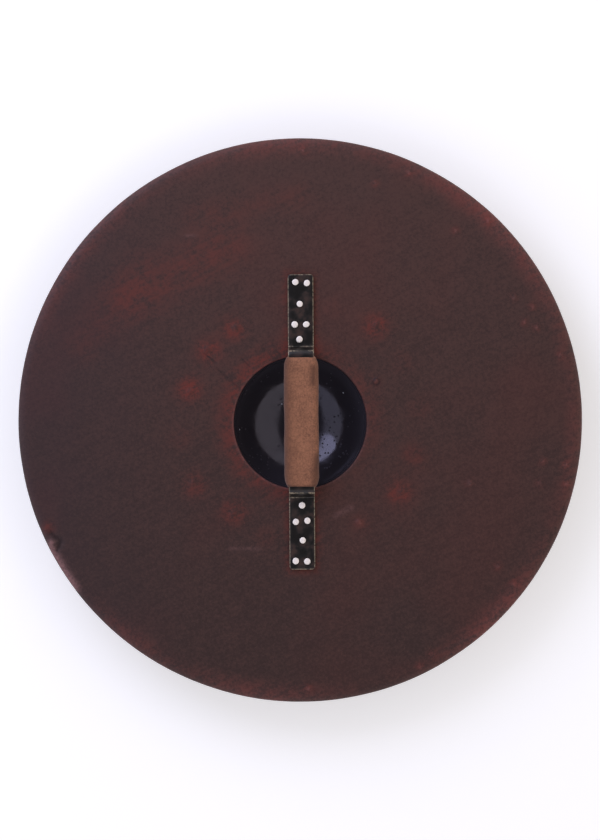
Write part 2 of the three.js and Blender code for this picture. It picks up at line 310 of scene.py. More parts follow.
def modify(piece, kind, **settings):
    """Adds a modifier with its settings, and applies it."""
    bpy.ops.object.modifier_add(type=kind)
    modifier = piece.modifiers[-1]
    for setting, value in settings.items():
        setattr(modifier, setting, value)
    bpy.ops.object.modifier_apply(modifier=modifier.name)


def roughen(piece, grain, depth):
    """Gives the surface low waves of a grain size."""
    waves = bpy.data.textures.new(f"{piece.name}_waves", "CLOUDS")
    waves.noise_scale = grain
    waves.noise_depth = 2
    modify(piece, "DISPLACE", texture=waves, texture_coords="LOCAL", strength=depth)


def paint(piece, name, values):
    """Keeps one number for each vertex, for a material to read."""
    attribute = piece.data.attributes.new(name, "FLOAT", "POINT")
    attribute.data.foreach_set("value", np.clip(values, 0, 1).astype(np.float32))


def line_distance(points, start, end):
    """Distance in plan from each point to a straight line between two places."""
    start, end = np.asarray(start), np.asarray(end)
    along = np.clip((points[:, :2] - start) @ (end - start) / np.sum((end - start) ** 2), 0, 1)
    return np.linalg.norm(points[:, :2] - start - along[:, None] * (end - start), axis=1)


def gap_to(points, lines):
    """Distance in plan, in mm, from each point to the nearest of some lines."""
    return np.min([line_distance(points / MM, *line) for line in lines], axis=0)


def bell(distance, reach):
    """A soft spot that is 1 at no distance and fades out past its reach."""
    return np.exp(-((distance / reach) ** 2))


def finish(piece, material, slot, *nodes):
    """Gives a piece its material, hangs it on the body that it rides on, and hides the frame's parts that it
    stands in for.
    """
    piece.data.materials.clear()
    piece.data.materials.append(material)
    start_fresh()
    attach(piece, BODY)
    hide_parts(*nodes)


# Materials

MIX_A = 6
MIX_B = 7
MIX_RESULT = 2
SMOOTH = {"interpolation_type": "SMOOTHSTEP"}


def fill(tree, node, inputs):
    """Fills or links a node's sockets, given by name or in their order."""
    for socket, value in inputs.items() if isinstance(inputs, dict) else enumerate(inputs):
        if isinstance(value, bpy.types.NodeSocket):
            tree.links.new(value, node.inputs[socket])
        else:
            node.inputs[socket].default_value = value


def add(tree, kind, inputs=(), output=0, **settings):
    """Adds a node with its settings and links, and gives one of its outputs."""
    node = tree.nodes.new("ShaderNode" + kind)
    for setting, value in settings.items():
        setattr(node, setting, value)
    fill(tree, node, inputs)
    return node.outputs[output]


def per_mm(size):
    """The texture scale that gives a feature of this size in millimetres."""
    return 1 / (size * MM)


def start_material(name):
    """A new material with its node tree and shader."""
    material = bpy.data.materials.new(name)
    material.use_nodes = True
    return material, material.node_tree, material.node_tree.nodes["Principled BSDF"]


def coat(tree, shader, shade, *coats):
    """Gives a shader its colour: a first one, then pairs of a mask and the colour that it shows."""
    for mask, shown in coats:
        shade = add(tree, "Mix", {0: mask, MIX_A: shade, MIX_B: shown}, MIX_RESULT, data_type="RGBA")
    fill(tree, shader, {"Base Color": shade})


def waxed_hide(colours):
    # Dyed and waxed hide: dark red-brown with a dull shine, mottled by age, redder where rubbing has worn
    # the wax off, with painted cool light down the left side, painted light towards the top, and painted
    # highlights and shade on its bumps, rim and creases
    material, tree, shader = start_material("waxed_oxblood_hide")
    place = add(tree, "TexCoord", output="Object")
    cloud = add(tree, "TexNoise", {"Vector": place, "Scale": per_mm(130), "Detail": 2.0})
    mottle = add(tree, "TexNoise", {"Vector": place, "Scale": per_mm(16), "Detail": 5.0, "Roughness": 0.6})
    fleck = add(tree, "TexNoise", {"Vector": place, "Scale": per_mm(2.6), "Detail": 4.0, "Roughness": 0.75})
    # The cover was rubbed with wax along one slanting way, which leaves streaks 60 mm long and 4 mm wide
    slant = add(tree, "Mapping", {
        "Vector": place, "Rotation": (0, 0, math.radians(27)), "Scale": (60 * MM, 4 * MM, 1),
    }, vector_type="TEXTURE")
    streak = add(tree, "TexNoise", {"Vector": slant, "Scale": 1.0, "Detail": 4.0})
    # Grain of a hide is about 1 mm; drawn at 2 mm so that it shows
    grain = add(tree, "TexVoronoi", {"Vector": place, "Scale": per_mm(2)})

    red_rub, scuff_and_painted_highlight, stain_and_painted_shade, cool_light = [
        add(tree, "Attribute", output="Fac", attribute_name=name)
        for name in ("red_rub", "scuff_and_painted_highlight", "stain_and_painted_shade", "painted_cool_light")
    ]

    tone = 0.0
    for pattern, share in ((mottle, 0.16), (streak, 0.15), (fleck, 0.69)):
        tone = add(tree, "Math", (pattern, share, tone), operation="MULTIPLY_ADD")
    drawn = 0.0
    for pattern, share in ((mottle, 0.34), (fleck, 0.42), (streak, 0.24)):
        drawn = add(tree, "Math", (pattern, share, drawn), operation="MULTIPLY_ADD")
    # Painted light: the cover is drawn lighter towards the top, as if lit from above
    up = add(tree, "SeparateXYZ", (place,), "Y")
    top_lit = add(tree, "Math", (up, 0.26, tone), operation="MULTIPLY_ADD")
    light = add(tree, "MapRange", (top_lit, 0.33, 0.66), **SMOOTH)
    warm = add(tree, "MapRange", (cloud, 0.45, 0.75, 0.0, 0.12), **SMOOTH)
    torn = add(tree, "MapRange", (drawn, 0.41, 0.58, 0.05, 1.05), **SMOOTH)
    ragged = add(tree, "Math", (red_rub, torn), operation="MULTIPLY")
    pale_breakup = add(tree, "MapRange", (fleck, 0.35, 0.62, 0.45, 1.0), **SMOOTH)
    scuffed_and_lit = add(tree, "Math", (scuff_and_painted_highlight, pale_breakup), operation="MULTIPLY")
    # Painted cool light down the left side, broken up by the cloud
    clouded = add(tree, "MapRange", (cloud, 0.30, 0.65, 0.5, 1.0), **SMOOTH)
    cool_lit = add(tree, "Math", (cool_light, clouded), operation="MULTIPLY")
    coat(
        tree, shader, colours.hide_dark,
        (light, colours.hide_light),
        (cool_lit, colours.hide_cool_light),
        (warm, colours.hide_red),
        (ragged, colours.hide_red),
        (scuffed_and_lit, colours.hide_pale),
        (stain_and_painted_shade, colours.hide_stain_and_shade),
    )
    pores = add(tree, "Bump", {"Height": grain, "Strength": 0.30, "Distance": 0.25 * MM})
    waves = add(tree, "Bump", {"Height": fleck, "Strength": 0.35, "Distance": 0.5 * MM, "Normal": pores})
    fill(tree, shader, {
        "Specular IOR Level": 0.28,
        "Roughness": add(tree, "MapRange", (tone, 0.35, 0.65, 0.66, 0.50), **SMOOTH),
        "Normal": waves,
    })
    return material


ENAMEL_GLINT = "f0ecff"


def gloss_enamel(colours):
    # Stoved black enamel on dished steel: deep black that mirrors the room, with pinholes where it boiled
    # and a few specks of dust
    material, tree, shader = start_material("stoved_black_enamel")
    place = add(tree, "TexCoord", output="Object")
    patches = add(tree, "TexNoise", {"Vector": place, "Scale": per_mm(30), "Detail": 2.0})
    film = add(tree, "TexNoise", {"Vector": place, "Scale": per_mm(9), "Detail": 4.0})
    holes = add(tree, "TexVoronoi", {"Vector": place, "Scale": per_mm(4.6)})
    specks = add(tree, "TexVoronoi", {"Vector": place, "Scale": per_mm(26)})
    pinholes = add(tree, "MapRange", (holes, 0.24, 0.14), **SMOOTH)
    boiled = add(tree, "MapRange", (patches, 0.54, 0.60), **SMOOTH)
    pitted = add(tree, "Math", (pinholes, boiled), operation="MULTIPLY")
    dusty = add(tree, "MapRange", (specks, 0.034, 0.022), **SMOOTH)
    coat(tree, shader, colours.enamel, (dusty, colours.enamel_dust))
    smear = add(tree, "MapRange", (film, 0.35, 0.70, 0.09, 0.18), **SMOOTH)
    depth = add(tree, "Math", (pitted, -6.0, film), operation="MULTIPLY_ADD")
    fill(tree, shader, {
        "Specular Tint": to_linear(ENAMEL_GLINT),
        "Roughness": add(tree, "Math", (pitted, 0.6, smear), operation="MULTIPLY_ADD"),
        "Normal": add(tree, "Bump", {"Height": depth, "Strength": 0.25, "Distance": 0.12 * MM}),
    })
    return material


def handle_place(tree, sizes):
    """Coordinates that follow the handle: X across it, Y along it, from its middle."""
    return add(tree, "Mapping", {
        "Vector": add(tree, "TexCoord", output="Object"),
        "Location": (HANDLE.x, HANDLE.y, STRAP_LOW.z),
        "Rotation": (0, 0, sizes.handle_skew),
    }, vector_type="TEXTURE")


BEND_SET = 2.06 * MM


def worn_line(tree, along, place):
    """A soft line across the strap, at a place along it."""
    off = add(tree, "Math", (along, place), operation="SUBTRACT")
    gap = add(tree, "Math", (off,), operation="ABSOLUTE")
    return add(tree, "MapRange", (gap, 0.9 * MM, 0.4 * MM), **SMOOTH)


def worn_paint(colours, sizes):
    # Black paint on flat bar: satin, blotched with oil and thin rust, worn to bare steel along the edges
    # and on the bends
    material, tree, shader = start_material("worn_black_paint_on_steel")
    place = handle_place(tree, sizes)
    across, along = [
        add(tree, "Math", (add(tree, "SeparateXYZ", (place,), axis),), operation="ABSOLUTE") for axis in "XY"
    ]
    blotch = add(tree, "TexNoise", {"Vector": place, "Scale": per_mm(9), "Detail": 5.0})
    chips = add(tree, "TexNoise", {"Vector": place, "Scale": per_mm(2.5), "Detail": 4.0, "Roughness": 0.7})

    half = sizes.strap_width / 2
    end = sizes.strap_length / 2
    side_wear = add(tree, "MapRange", (across, half - 1.3 * MM, half - 0.1 * MM), **SMOOTH)
    end_wear = add(tree, "MapRange", (along, end - 1.3 * MM, end - 0.1 * MM), **SMOOTH)
    edge_wear = add(tree, "Math", (side_wear, end_wear), operation="MAXIMUM")

    upper = worn_line(tree, along, sizes.strap_shoulder + BEND_SET)
    lower = worn_line(tree, along, sizes.strap_foot + BEND_SET)
    faint = add(tree, "Math", (lower, 0.55), operation="MULTIPLY")
    whole = add(tree, "Math", (upper, faint), operation="MAXIMUM")
    broken = add(tree, "MapRange", (blotch, 0.40, 0.56), **SMOOTH)
    lines = add(tree, "Math", (whole, broken), operation="MULTIPLY")
    outward = add(tree, "MapRange", (across, 2 * MM, 9 * MM, 0.55, 1.2), **SMOOTH)
    bend_wear = add(tree, "Math", (lines, outward), operation="MULTIPLY")

    wear = add(tree, "Math", (edge_wear, bend_wear), operation="MAXIMUM")
    chipped = add(tree, "MapRange", (chips, 0.34, 0.60), **SMOOTH)
    bare = add(tree, "Math", (wear, chipped), operation="MULTIPLY")
    flaked = add(tree, "MapRange", (chips, 0.72, 0.78, 0.0, 0.8), **SMOOTH)
    bright = add(tree, "Math", (bare, flaked), operation="MAXIMUM")
    rusty = add(tree, "MapRange", (blotch, 0.46, 0.70, 0.0, 0.50), **SMOOTH)
    coat(tree, shader, colours.paint, (rusty, colours.paint_rust), (bright, colours.steel))
    fill(tree, shader, {
        "Metallic": add(tree, "MapRange", (bare, 0.3, 0.9, 0.0, 0.8), **SMOOTH),
        "Roughness": add(tree, "MapRange", (blotch, 0.35, 0.65, 0.28, 0.50), **SMOOTH),
        "Normal": add(tree, "Bump", {"Height": blotch, "Strength": 0.35, "Distance": 0.5 * MM}),
    })
    return material


def hammered_aluminium(colours):
    # Soft aluminium rivets closed with a hammer: pale, dull and slightly faceted
    material, tree, shader = start_material("hammered_aluminium")
    place = add(tree, "TexCoord", output="Object")
    facets = add(tree, "TexVoronoi", {"Vector": place, "Scale": per_mm(1.6)})
    tarnish = add(tree, "TexNoise", {"Vector": place, "Scale": per_mm(1.2), "Detail": 3.0})
    dulled = add(tree, "MapRange", (tarnish, 0.55, 0.75), **SMOOTH)
    worn = add(tree, "HueSaturation", {"Value": 0.85, "Color": colours.aluminium})
    coat(tree, shader, colours.aluminium, (dulled, worn))
    fill(tree, shader, {
        "Metallic": 0.05,
        "Specular IOR Level": 1.0,
        "Roughness": add(tree, "MapRange", (tarnish, 0.3, 0.7, 0.38, 0.55), **SMOOTH),
        "Normal": add(tree, "Bump", {"Height": facets, "Strength": 0.25, "Distance": 0.15 * MM}),
    })
    return material


def rough_leather(colours, sizes):
    # Leather with its rough side out: a matt, fibrous tan-brown, mottled by the hand and darker at the
    # sides
    material, tree, shader = start_material("rough_side_out_leather")
    place = handle_place(tree, sizes)
    hand = add(tree, "TexNoise", {"Vector": place, "Scale": per_mm(13), "Detail": 4.0})
    nap = add(tree, "TexNoise", {"Vector": place, "Scale": per_mm(1.7), "Detail": 5.0, "Roughness": 0.7})
    # Fibres are far finer than this; drawn 1.2 mm wide and 7 mm long so that they show
    stretched = add(tree, "Mapping", {"Vector": place, "Scale": (per_mm(1.2), per_mm(7), per_mm(1.2))})
    fibre = add(tree, "TexNoise", {"Vector": stretched, "Scale": 1.0, "Detail": 3.0})
    tone = 0.0
    for pattern, share in ((hand, 0.26), (nap, 0.60), (fibre, 0.14)):
        tone = add(tree, "Math", (pattern, share, tone), operation="MULTIPLY_ADD")
    light = add(tree, "MapRange", (tone, 0.28, 0.68), **SMOOTH)
    drawn_darker = add(tree, "Attribute", output="Fac", attribute_name="grip_dark_marks")
    coat(tree, shader, colours.grip_dark, (light, colours.grip_light), (drawn_darker, colours.grip_drawn_dark))
    fill(tree, shader, {
        "Roughness": 0.92,
        "Specular IOR Level": 0.2,
        "Sheen Weight": 0.12,
        "Sheen Roughness": 0.6,
        "Normal": add(tree, "Bump", {"Height": tone, "Strength": 0.4, "Distance": 0.6 * MM}),
    })
    return material


def painted_iron(colours):
    # Forged iron nail heads under black paint: satin, with hammer marks
    material, tree, shader = start_material("black_painted_iron")
    place = add(tree, "TexCoord", output="Object")
    marks = add(tree, "TexNoise", {"Vector": place, "Scale": per_mm(2.5), "Detail": 3.0})
    rubbed = add(tree, "MapRange", (marks, 0.55, 0.75), **SMOOTH)
    worn = add(tree, "HueSaturation", {"Value": 2.2, "Color": colours.nail_iron})
    coat(tree, shader, colours.nail_iron, (rubbed, worn))
    fill(tree, shader, {
        "Metallic": 0.3,
        "Roughness": add(tree, "MapRange", (marks, 0.3, 0.7, 0.35, 0.60), **SMOOTH),
        "Normal": add(tree, "Bump", {"Height": marks, "Strength": 0.4, "Distance": 0.3 * MM}),
    })
    return material


def pale_floor(colours, glow):
    # Matt white studio floor, lit a little from below so that it stays pale
    material, tree, shader = start_material("matt_white_floor")
    place = add(tree, "TexCoord", output="Object")
    patches = add(tree, "TexNoise", {"Vector": place, "Scale": per_mm(600), "Detail": 2.0})
    shade = add(tree, "HueSaturation", {"Value": 0.985, "Color": colours.floor})
    coat(tree, shader, colours.floor, (patches, shade))
    fill(tree, shader, {
        "Roughness": 0.9,
        "Specular IOR Level": 0.1,
        "Emission Color": colours.floor,
        "Emission Strength": glow,
    })
    return material


# Pieces

DISC_BACK_RINGS = 108
DISC_FRONT_RINGS = 12
RIM_STEPS = 12


def disc_profile(sizes):
    """The disc's section, from the opening's lip over the back, round the rim and home along the front."""
    lip = sizes.opening_radius + sizes.opening_lip
    edge = DISC_HIGH.x - sizes.rim_turn
    middle = (DISC_LOW.z + DISC_HIGH.z) / 2
    half = (DISC_HIGH.z - DISC_LOW.z) / 2
    lip_z = DISC_HIGH.z - sizes.opening_lip
    rings = [(radius, DISC_HIGH.z) for radius in np.linspace(lip, edge, DISC_BACK_RINGS)]
    rings += arc(edge, middle, sizes.rim_turn, half, 90, -90, RIM_STEPS)[1:]
    front = np.linspace(edge, sizes.opening_radius, DISC_FRONT_RINGS)[1:]
    rings += [(radius, DISC_LOW.z) for radius in front]
    rings += [(sizes.opening_radius, height) for height in np.linspace(DISC_LOW.z, lip_z, 4)[1:]]
    rings += arc(lip, lip_z, sizes.opening_lip, sizes.opening_lip, 180, 90, 5)[1:]
    return rings


def nail_tips():
    """Where each nail's tip lies under the hide, and how much it shows: (x, y, show)."""
    shown = {number: (radius, turn, show) for number, radius, turn, show in NAIL_TIPS}
    tips = []
    for number, name in enumerate(NAILS, start=1):
        low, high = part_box(name)
        x, y, show = (low.x + high.x) / 2, (low.y + high.y) / 2, FAINT_TIP
        if number in shown:
            radius, turn, show = shown[number]
            x = HUB.x + radius * MM * math.cos(math.radians(turn))
            y = HUB.y + radius * MM * math.sin(math.radians(turn))
        tips.append((x, y, show))
    return tips


def on_back(places):
    """Places in mm, lifted to the level of the disc's back."""
    return [(x * MM, y * MM, DISC_HIGH.z) for x, y in places]


def shape_hide(piece, tips):
    """Raises the nail tips and tacks under the hide, and presses in its fold and creases."""
    back = points_of(piece)
    back[back[:, 2] < DISC_HIGH.z - 3 * MM] += 10
    bold = [(x, y, DISC_HIGH.z) for x, y, show in tips if show > 0.5]
    faint = [(x, y, DISC_HIGH.z) for x, y, show in tips if show <= 0.5]
    push(piece, nearest(back, bold), (0, 0, 1.1 * MM), 5.5 * MM)
    push(piece, nearest(back, faint), (0, 0, 0.35 * MM), 6 * MM)
    push(piece, nearest(back, on_back(PIMPLES)), (0, 0, 1.8 * MM), 4.0 * MM)
    push(piece, nearest(back, on_back(RIM_TACKS)), (0, 0, 0.8 * MM), 4.2 * MM)

    push(piece, gap_to(back, zip(RIM_FOLD, RIM_FOLD[1:])) < 1.3, (0, 0, -1.6 * MM), 4.5 * MM, "SHARP")
    push(piece, nearest(back, on_back([RIM_FLAP])), (0, 0, 1.2 * MM), 8 * MM)
    push(piece, gap_to(back, CREASES) < 0.7, (0, 0, -0.35 * MM), 2.2 * MM)


def paint_hide(piece, sizes, tips):
    """Marks where the hide is rubbed red, has pale scuffs and stains, and where it has painted highlights,
    painted shade and a painted cool cast, for its material.
    """
    points = points_of(piece)
    x, y = points[:, 0], points[:, 1]
    from_middle = np.hypot(x, y)
    turn = np.degrees(np.arctan2(y, x)) % 360
    from_lip = np.hypot(x - HUB.x, y - HUB.y) - sizes.opening_radius
    hub_turn = np.arctan2(y - HUB.y, x - HUB.x)
    from_edge = DISC_HIGH.x - from_middle

    red = np.zeros(len(points))
    dark = np.zeros(len(points))
    for number, (tip_x, tip_y, show) in enumerate(tips):
        gap = np.hypot(x - tip_x, y - tip_y)
        aside_x = tip_x + 2.5 * MM * math.cos(2 * number)
        aside_y = tip_y + 2.5 * MM * math.sin(2 * number)
        lopsided = np.hypot(x - aside_x, y - aside_y)
        red += show * (0.45 * bell(lopsided - 6.5 * MM, 5 * MM) + 0.55 * bell(lopsided, 14 * MM))
        dark += show * 0.22 * bell(gap, 2.4 * MM)
    worn_side = 0.55 + 0.35 * np.cos(hub_turn - math.radians(150)) + 0.12 * np.cos(3 * hub_turn)
    red += 1.1 * worn_side * bell(np.maximum(from_lip, 0), 16 * MM)
    strap_x = x - HANDLE.x + math.tan(sizes.handle_skew) * (y - HANDLE.y)
    beside = np.maximum(np.abs(strap_x) - sizes.strap_width / 2, 0)
    beyond = np.maximum(np.abs(y - HANDLE.y) - sizes.strap_length / 2, 0)
    red += 0.55 * bell(np.hypot(beside, beyond), 5 * MM)
    rim_rub = np.zeros(len(points))
    for place, half_turn, strength in RIM_RUBS:
        off = (turn - place + 180) % 360 - 180
        rim_rub += strength * bell(off, half_turn) * bell(np.maximum(from_edge - 5 * MM, 0), 11 * MM)
    red += rim_rub
    for start, end, half_width, strength in WAX_SWEEPS:
        red += strength * bell(line_distance(points / MM, start, end), half_width)
    spots = np.min([np.hypot(x - at[0] * MM, y - at[1] * MM) for at in (*PIMPLES, *RIM_TACKS)], axis=0)
    red += 0.55 * bell(spots, 4 * MM)
    red += 0.70 * bell(np.hypot(x - RIM_STAIN[0] * MM, y - RIM_STAIN[1] * MM), 6 * MM)
    paint(piece, "red_rub", red)

    # Painted highlights: a pale dot on top of each pimple and rim tack; the pale on the rim rubs is wear
    pale = 0.30 * bell(spots, 1.3 * MM) + 0.16 * rim_rub
    for start, end, half_width, strength in SCUFFS:
        pale = np.maximum(pale, strength * bell(line_distance(points / MM, start, end), half_width))
    # Painted highlight along the rounded rim at the lower left and on the raised flap of its fold
    inside = np.clip(np.minimum(turn - RIM_HIGHLIGHT_FROM, RIM_HIGHLIGHT_TO - turn) / 2.5, 0, 1)
    pale = np.maximum(pale, 0.66 * inside * bell(from_edge - 2.5 * MM, 4 * MM))
    pale = np.maximum(pale, 0.75 * bell(np.hypot(x - RIM_FLAP[0] * MM, y - RIM_FLAP[1] * MM), 3.2 * MM))
    lip_side = 0.60 + 0.40 * np.cos(hub_turn - math.radians(215))
    pale = np.maximum(pale, 0.40 * lip_side * bell(from_lip - 0.5 * MM, 0.6 * MM))
    paint(piece, "scuff_and_painted_highlight", pale)

    # Painted shade in the fold and the creases, and a painted shadow round the first pimple, set to its
    # lower right; the dark spots on the nail tips are stains
    fold = gap_to(points, zip(RIM_FOLD, RIM_FOLD[1:]))
    crease = gap_to(points, CREASES)
    ring = np.hypot(x - PIMPLES[0][0] * MM - 0.8 * MM, y - PIMPLES[0][1] * MM + 0.8 * MM) - 3.2 * MM
    dark += 0.62 * bell(fold, 2.0) + 0.45 * bell(crease, 0.9) + 0.75 * bell(ring, 1.2 * MM)
    paint(piece, "stain_and_painted_shade", dark)
    # Painted light: a cool cast down the left side of the disc, fading out to the right
    paint(piece, "painted_cool_light", 0.55 / (1 + np.exp((x + 0.17) / 0.035)))


def model_disc(sizes):
    """The covered disc: rings lofted from its section, with the opening shifted to the hub."""
    piece = loft_rings("hide_disc", disc_profile(sizes), sizes.disc_steps, (0, 0))
    tidy_mesh()
    points = points_of(piece)
    near = np.hypot(points[:, 0], points[:, 1]) < sizes.opening_radius + 10 * MM
    push(piece, near, (HUB.x, HUB.y, 0), 120 * MM)
    tips = nail_tips()
    shape_hide(piece, tips)
    roughen(piece, 45 * MM, 0.5 * MM)
    paint_hide(piece, sizes, tips)
    bpy.ops.object.shade_smooth()
    return piece


APEX_SHIFT = (2.4 * MM, 1.6 * MM, 0)
# Points of the boss that lie this near to the floor are pressed flat onto it
REST_REACH = 0.12 * MM


def boss_profile(sizes):
    """The boss's section, from its rest flat out along the front and back in along the cup."""
    cup = (sizes.cup_mouth ** 2 + sizes.cup_depth ** 2) / (2 * sizes.cup_depth)
    dome = cup + sizes.sheet
    centre = math.sqrt(dome ** 2 - sizes.rest_flat ** 2)
    bend_z = BOSS_HIGH.z - sizes.sheet - sizes.cup_bend
    fall = centre - bend_z
    bend_radius = math.sqrt((dome + sizes.cup_bend) ** 2 - fall ** 2)
    dome_end = -math.degrees(math.atan2(fall, bend_radius))
    flat_end = -math.degrees(math.atan2(centre, sizes.rest_flat))
    bend_start = 180 + dome_end
    wide = sizes.cup_bend + sizes.sheet
    flange = (BOSS_HIGH.x - BOSS_LOW.x) / 2
    half = sizes.sheet / 2
    rings = arc(0, centre, dome, dome, flat_end, dome_end, 24)
    rings += arc(bend_radius, bend_z, sizes.cup_bend, sizes.cup_bend, bend_start, 90, 6)[1:]
    flat = np.linspace(bend_radius, flange - half, 7)[1:-1]
    rings += [(radius, BOSS_HIGH.z - sizes.sheet) for radius in flat]
    rings += arc(flange - half, BOSS_HIGH.z - half, half, half, -90, 90, 6)
    rings += [(radius, BOSS_HIGH.z) for radius in reversed(flat)]
    rings += arc(bend_radius, bend_z, wide, wide, 90, bend_start, 6)
    rings += arc(0, centre, cup, cup, dome_end, -89, 36)[1:]
    return rings + [(0, centre - cup)]


def model_boss(sizes):
    """The dished boss with its flange. Hand dishing left its deepest point a little off the middle."""
    piece = loft_rings("dished_boss", boss_profile(sizes), sizes.boss_steps, HUB)
    bpy.ops.object.mode_set(mode="OBJECT")
    points = points_of(piece)
    from_hub = np.hypot(points[:, 0] - HUB.x, points[:, 1] - HUB.y)
    select_points(piece, (points[:, 2] < 0.01 * MM) & (from_hub > sizes.rest_flat - MM))
    bpy.ops.mesh.edge_face_add()
    tidy_mesh()
    push(piece, from_hub < 10 * MM, APEX_SHIFT, 62 * MM)
    roughen(piece, 38 * MM, 0.25 * MM)
    select_points(piece, points_of(piece)[:, 2] < REST_REACH)
    bpy.ops.transform.resize(value=(1, 1, 0), center_override=(0, 0, 0))
    bpy.ops.object.mode_set(mode="OBJECT")
    bpy.ops.object.shade_smooth_by_angle(angle=math.radians(40))
    return piece


def set_on_handle(piece, sizes):
    """Turns and moves a piece modelled along Y to where the handle is, and keeps that in its mesh."""
    piece.location = (HANDLE.x, HANDLE.y, 0)
    piece.rotation_euler = (0, 0, sizes.handle_skew)
    bpy.ops.object.transform_apply(location=True, rotation=True, scale=True)


def cut_across(places, axis):
    """Cuts the mesh by planes at each place along an axis, so that it has points to shape."""
    bpy.ops.object.mode_set(mode="EDIT")
    for place in places:
        bpy.ops.mesh.select_all(action="SELECT")
        bpy.ops.mesh.bisect(plane_co=tuple(place * a for a in axis), plane_no=axis)
    bpy.ops.object.mode_set(mode="OBJECT")


def model_strap(sizes):
    """The handle strap: a flat strip run along its bends, rounded at the corners and thickened."""
    start_fresh()
    end, foot, shoulder = sizes.strap_length / 2, sizes.strap_foot, sizes.strap_shoulder
    bpy.ops.mesh.primitive_plane_add(size=1, location=(0, -(end + foot) / 2, STRAP_LOW.z))
    piece = bpy.context.object
    piece.name = "handle_bar"
    piece.scale = (sizes.strap_width, end - foot, 1)
    bpy.ops.object.transform_apply(location=True, scale=True)
    points = points_of(piece)
    select_points(piece, points[:, 1] > -foot - MM, "EDGE")
    steps = (
        (foot - shoulder, sizes.strap_rise),
        (2 * shoulder, 0),
        (foot - shoulder, -sizes.strap_rise),
        (end - foot, 0),
    )
    for forward, up in steps:
        bpy.ops.mesh.extrude_region_move(TRANSFORM_OT_translate={"value": (0, forward, up)})
    bpy.ops.object.mode_set(mode="OBJECT")

    points = points_of(piece)
    select_points(piece, np.abs(points[:, 1]) < foot + MM, "EDGE")
    bpy.ops.mesh.bevel(offset=2.6 * MM, segments=5, affect="EDGES")
    bpy.ops.object.mode_set(mode="OBJECT")
    points = points_of(piece)
    select_points(piece, np.abs(points[:, 1]) > end - 0.1 * MM)
    bpy.ops.mesh.bevel(offset=sizes.strap_corner, segments=5, affect="VERTICES")
    tidy_mesh()
    cut_across(np.arange(-end + 5 * MM, end, 5 * MM), (0, 1, 0))
    cut_across((-8 * MM, -3 * MM, 3 * MM, 8 * MM), (1, 0, 0))

    modify(piece, "SOLIDIFY", thickness=sizes.strap_thickness, offset=1, use_even_offset=True)
    modify(piece, "BEVEL", width=0.6 * MM, segments=3, limit_method="ANGLE", angle_limit=math.radians(50))
    roughen(piece, 18 * MM, 0.25 * MM)
    bpy.ops.object.shade_smooth_by_angle(angle=math.radians(35))
    set_on_handle(piece, sizes)
    return piece


def grip_steps(sizes):
    """Stations along the grip as (place, share of width, share of height), drawn in at both ends."""
    half = sizes.grip_length / 2
    ends = (
        (0, 0.78, 0.62),
        (0.8 * MM, 0.82, 0.74),
        (2.5 * MM, 0.87, 0.84),
        (5 * MM, 0.94, 0.93),
        (8 * MM, 0.985, 0.98),
    )
    steps = [(-half + inward, wide, high) for inward, wide, high in ends]
    steps += [(place, 1.0, 1.0) for place in np.linspace(-half + 12 * MM, half - 12 * MM, 22)]
    return steps + [(half - inward, wide, high) for inward, wide, high in reversed(ends)]


# Darker patches on the right of the grip: start, end, half width in mm
GRIP_DARK_PATCHES = (((11.5, 38.0), (12.0, 53.0), 3.2), ((13.0, -60.0), (14.5, -34.0), 4.2))


def paint_grip(piece, sizes):
    """Marks where the leather is drawn darker: along the left, and in two places on the right."""
    points = points_of(piece) / MM
    half = sizes.grip_width / 2 / MM
    darkening = 0.70 * bell(np.maximum(points[:, 0] + half, 0), 7)
    darkening += 0.35 * bell(np.maximum(half - points[:, 0], 0), 2)
    for start, end, half_width in GRIP_DARK_PATCHES:
        darkening += 0.65 * bell(line_distance(points, start, end), half_width)
    darkening += 0.45 * bell(np.abs(points[:, 1] + 63.0), 1.2)
    paint(piece, "grip_dark_marks", darkening)


